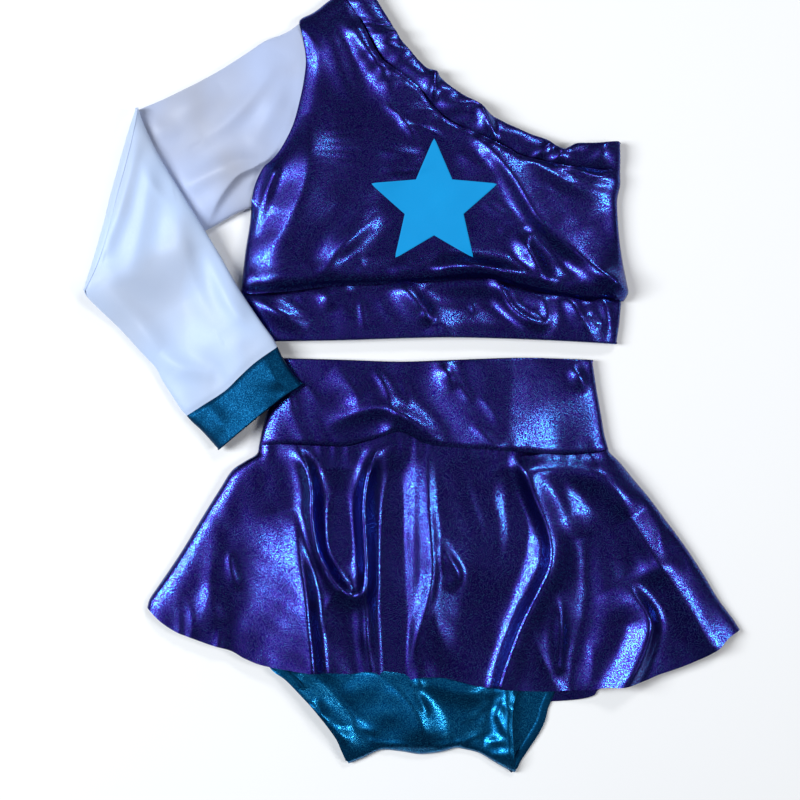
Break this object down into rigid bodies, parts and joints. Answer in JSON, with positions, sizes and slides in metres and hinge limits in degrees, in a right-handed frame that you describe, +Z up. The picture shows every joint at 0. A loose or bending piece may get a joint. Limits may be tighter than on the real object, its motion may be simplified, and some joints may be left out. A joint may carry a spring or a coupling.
{
  "type": "cheer uniform",
  "caption": "Child's cheer uniform laid flat: one-shoulder crop top with a single long sleeve folded at the elbow, and a flared skirt sewn over a brief.",
  "frame": {"origin": "middle of the outfit's outline, at the height of the surface it lies on", "axes": "+Z up off the surface, +Y from the brief towards the shoulder, +X towards the side without a sleeve"},
  "size_m": [0.473, 0.565, 0.027],
  "materials": {
    "purple_foil": "metallic foil-printed stretch knit, dark indigo",
    "teal_foil": "metallic foil-printed stretch knit, teal",
    "white_knit": "smooth white stretch knit with a light sheen",
    "blue_film": "heat-pressed vinyl film, matte bright blue",
    "elastic": "woven elastic tape",
    "thread_purple": "overlocked seam allowance, indigo thread",
    "thread_teal": "overlocked seam allowance, teal thread",
    "thread_white": "overlocked seam allowance, white thread"
  },
  "bodies": {
    "skirted_brief": {"waistband": "purple_foil", "waist_elastic": "elastic", "waist_seam_overlock": "thread_purple", "skirt_front": "purple_foil", "skirt_back": "purple_foil", "skirt_side_seam_left": "thread_purple", "skirt_side_seam_right": "thread_purple", "leg_band_left": "teal_foil", "leg_elastic_left": "elastic", "leg_band_right": "teal_foil", "leg_elastic_right": "elastic", "brief_front": "teal_foil", "brief_back": "teal_foil", "gusset": "teal_foil", "gusset_lining": "teal_foil", "brief_side_seam_left": "thread_teal", "brief_side_seam_right": "thread_teal"},
    "crop_top": {"underbust_band": "purple_foil", "underbust_elastic": "elastic", "underbust_seam_overlock": "thread_purple", "neck_band": "purple_foil", "neck_elastic": "elastic", "neck_seam_overlock": "thread_purple", "bodice_back": "purple_foil", "bodice_front": "purple_foil", "bodice_side_seam_left": "thread_purple", "bodice_side_seam_right": "thread_purple", "shoulder_seam": "thread_purple", "emblem": "blue_film"},
    "upper_sleeve": {"sleeve_upper": "white_knit", "armhole_seam_overlock": "thread_white"},
    "lower_sleeve": {"sleeve_lower": "white_knit", "cuff_seam_overlock": "thread_white", "cuff": "teal_foil"}
  },
  "joints": [
    {"name": "top_lift", "type": "slide", "parent": "skirted_brief", "child": "crop_top", "axis": [0, 0, 1], "range_m": [0, 0.25]},
    {"name": "sleeve_swing", "type": "hinge", "parent": "crop_top", "child": "upper_sleeve", "pos_m": [-0.0825, 0.2615, 0.006], "axis": [0, 0, -1], "range_deg": [0, 20]},
    {"name": "elbow_unfold", "type": "hinge", "parent": "upper_sleeve", "child": "lower_sleeve", "pos_m": [-0.21871, 0.13194, 0.0123], "axis": [-0.2577, -0.9662, 0], "range_deg": [0, 178]}
  ]
}
